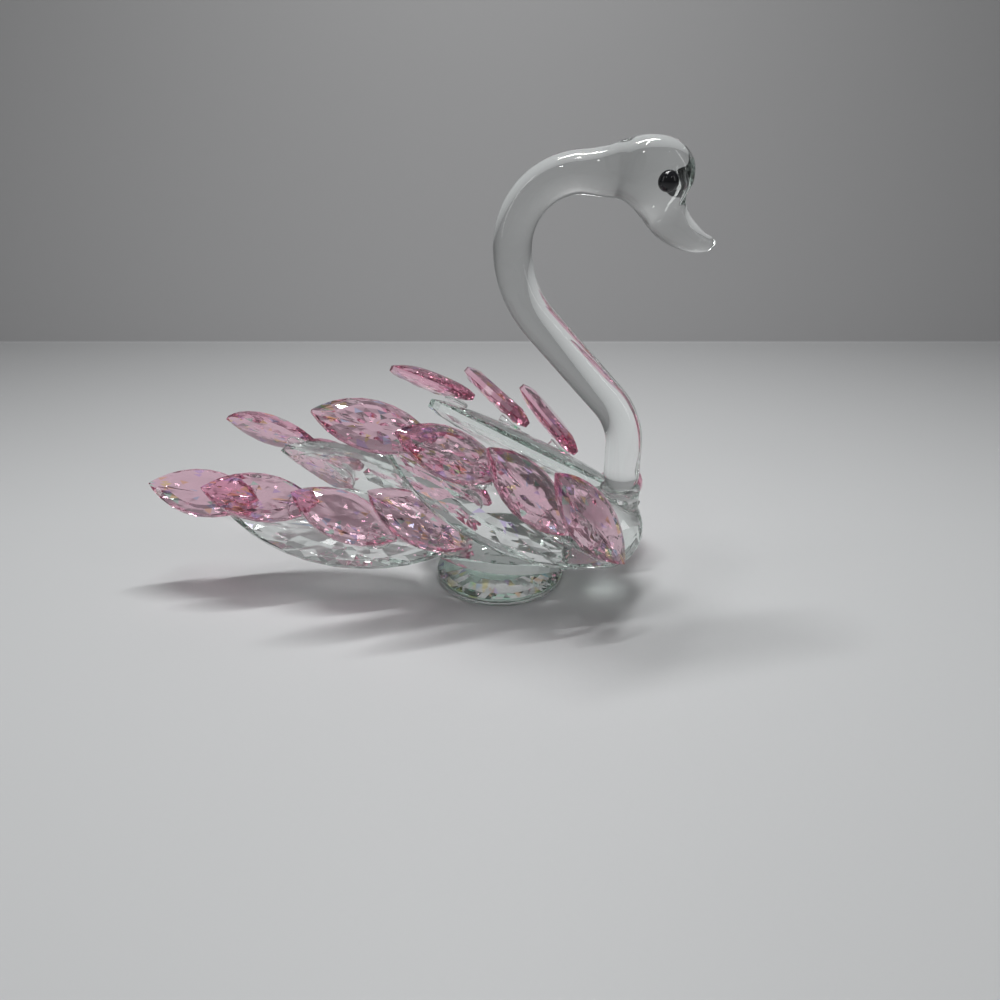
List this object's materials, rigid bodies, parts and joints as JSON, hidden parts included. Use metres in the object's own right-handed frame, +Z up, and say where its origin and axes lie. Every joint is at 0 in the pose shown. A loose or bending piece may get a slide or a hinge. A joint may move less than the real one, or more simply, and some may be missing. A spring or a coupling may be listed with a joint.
{
  "type": "swan figurine",
  "caption": "Swan ornament of glued cut glass: round foot, body stone and breast ball, bent glass neck with head and bill, long clear wing stones with raised pink feather stones.",
  "frame": {"origin": "centre of the round foot's underside, on the surface it stands on", "axes": "+X towards the breast and bill, +Y towards the swan's left wing, +Z up"},
  "size_m": [0.2418, 0.1092, 0.1885],
  "materials": {
    "clear_glass": "polished",
    "pink_glass": "polished",
    "black_glass": "gloss"
  },
  "bodies": {
    "root": {"body_stone": "clear_glass", "breast_ball": "clear_glass", "eye_left": "black_glass", "eye_right": "black_glass", "feather_lower_left_1": "pink_glass", "feather_lower_left_2": "pink_glass", "feather_lower_left_3": "pink_glass", "feather_lower_left_4": "pink_glass", "feather_lower_right_1": "pink_glass", "feather_lower_right_2": "pink_glass", "feather_lower_right_3": "pink_glass", "feather_lower_right_4": "pink_glass", "feather_upper_left_1": "pink_glass", "feather_upper_left_2": "pink_glass", "feather_upper_left_3": "pink_glass", "feather_upper_left_4": "pink_glass", "feather_upper_right_1": "pink_glass", "feather_upper_right_2": "pink_glass", "feather_upper_right_3": "pink_glass", "feather_upper_right_4": "pink_glass", "foot": "clear_glass", "neck_and_head": "clear_glass", "neck_collar": "clear_glass", "pad_lower_left_1": "clear_glass", "pad_lower_left_2": "clear_glass", "pad_lower_left_3": "clear_glass", "pad_lower_left_4": "clear_glass", "pad_lower_right_1": "clear_glass", "pad_lower_right_2": "clear_glass", "pad_lower_right_3": "clear_glass", "pad_lower_right_4": "clear_glass", "pad_upper_left_1": "clear_glass", "pad_upper_left_2": "clear_glass", "pad_upper_left_3": "clear_glass", "pad_upper_left_4": "clear_glass", "pad_upper_right_1": "clear_glass", "pad_upper_right_2": "clear_glass", "pad_upper_right_3": "clear_glass", "pad_upper_right_4": "clear_glass", "wing_lower_left": "clear_glass", "wing_lower_right": "clear_glass", "wing_upper_left": "clear_glass", "wing_upper_right": "clear_glass"}
  },
  "joints": []
}
